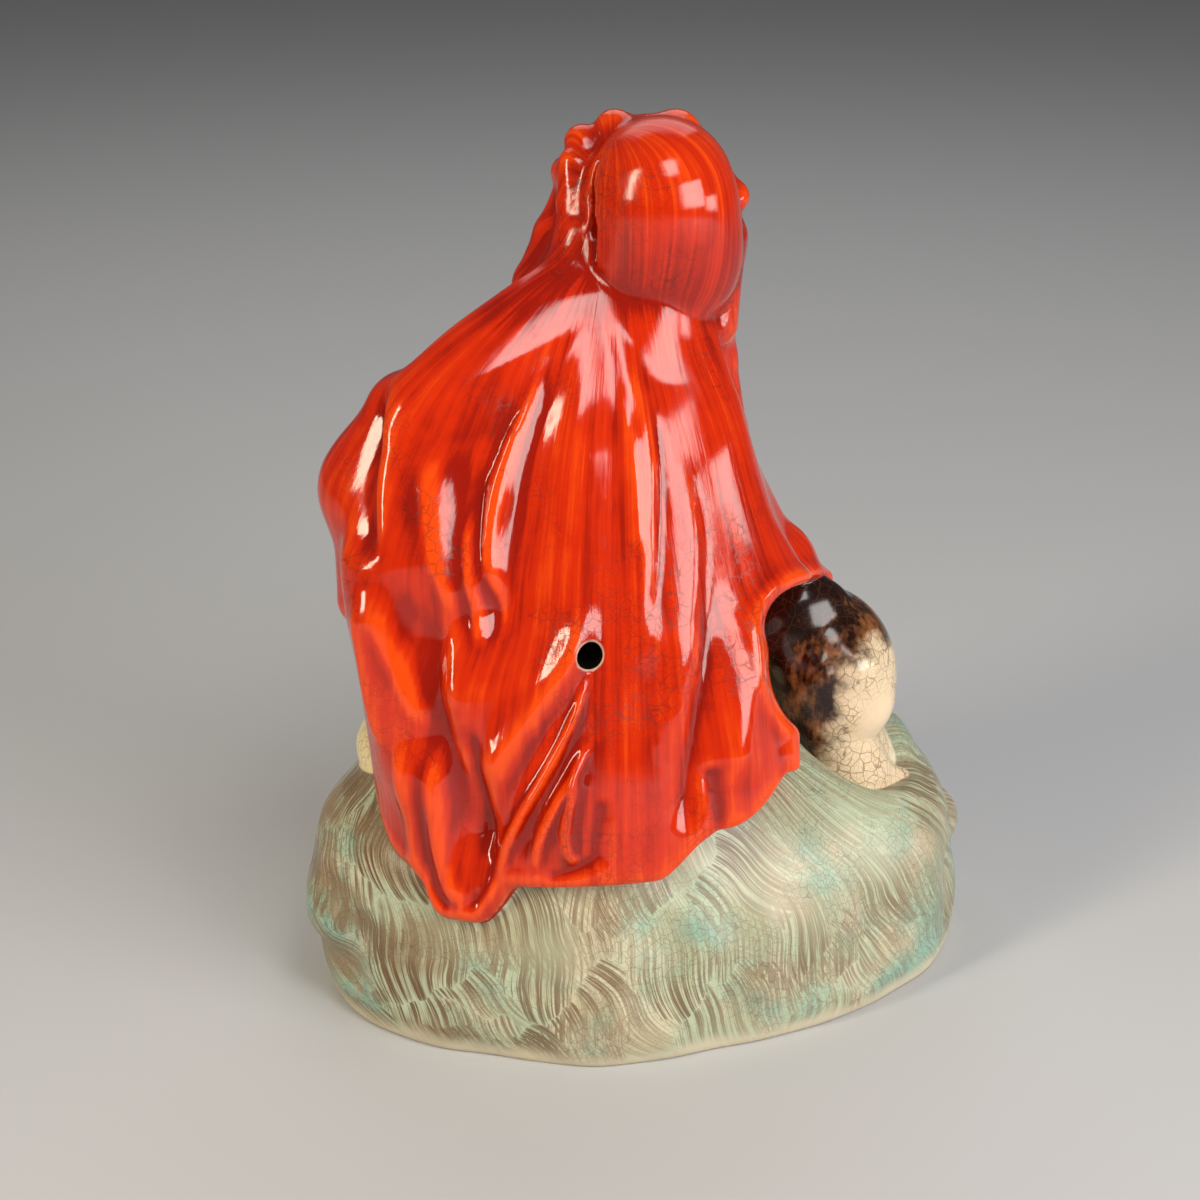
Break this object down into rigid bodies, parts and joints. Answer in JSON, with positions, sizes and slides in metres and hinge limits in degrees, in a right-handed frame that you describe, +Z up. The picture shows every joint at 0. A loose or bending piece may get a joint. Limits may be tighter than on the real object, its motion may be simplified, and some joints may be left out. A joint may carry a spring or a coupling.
{
  "type": "mother and child figurine",
  "caption": "Glazed earthenware figurine of a seated mother in a hooded mantle, a child leaning at her side, on a rock mound with a flat underside.",
  "frame": {"origin": "middle of the flat underside's outline box, on the surface it stands on", "axes": "+Z up, the figure faces -Y and its left side is towards +X"},
  "size_m": [0.1824, 0.1218, 0.2244],
  "materials": {
    "vermilion_glaze": "glossy brushed vermilion glaze, crazed",
    "celadon_glaze": "pale green crazed glaze with brown brush strokes",
    "cream_glaze": "warm cream crazed glaze",
    "brown_glaze": "glossy dark brown glaze",
    "bare_clay": "unglazed fired clay"
  },
  "bodies": {
    "root": {"figurine": "vermilion_glaze"}
  },
  "joints": []
}
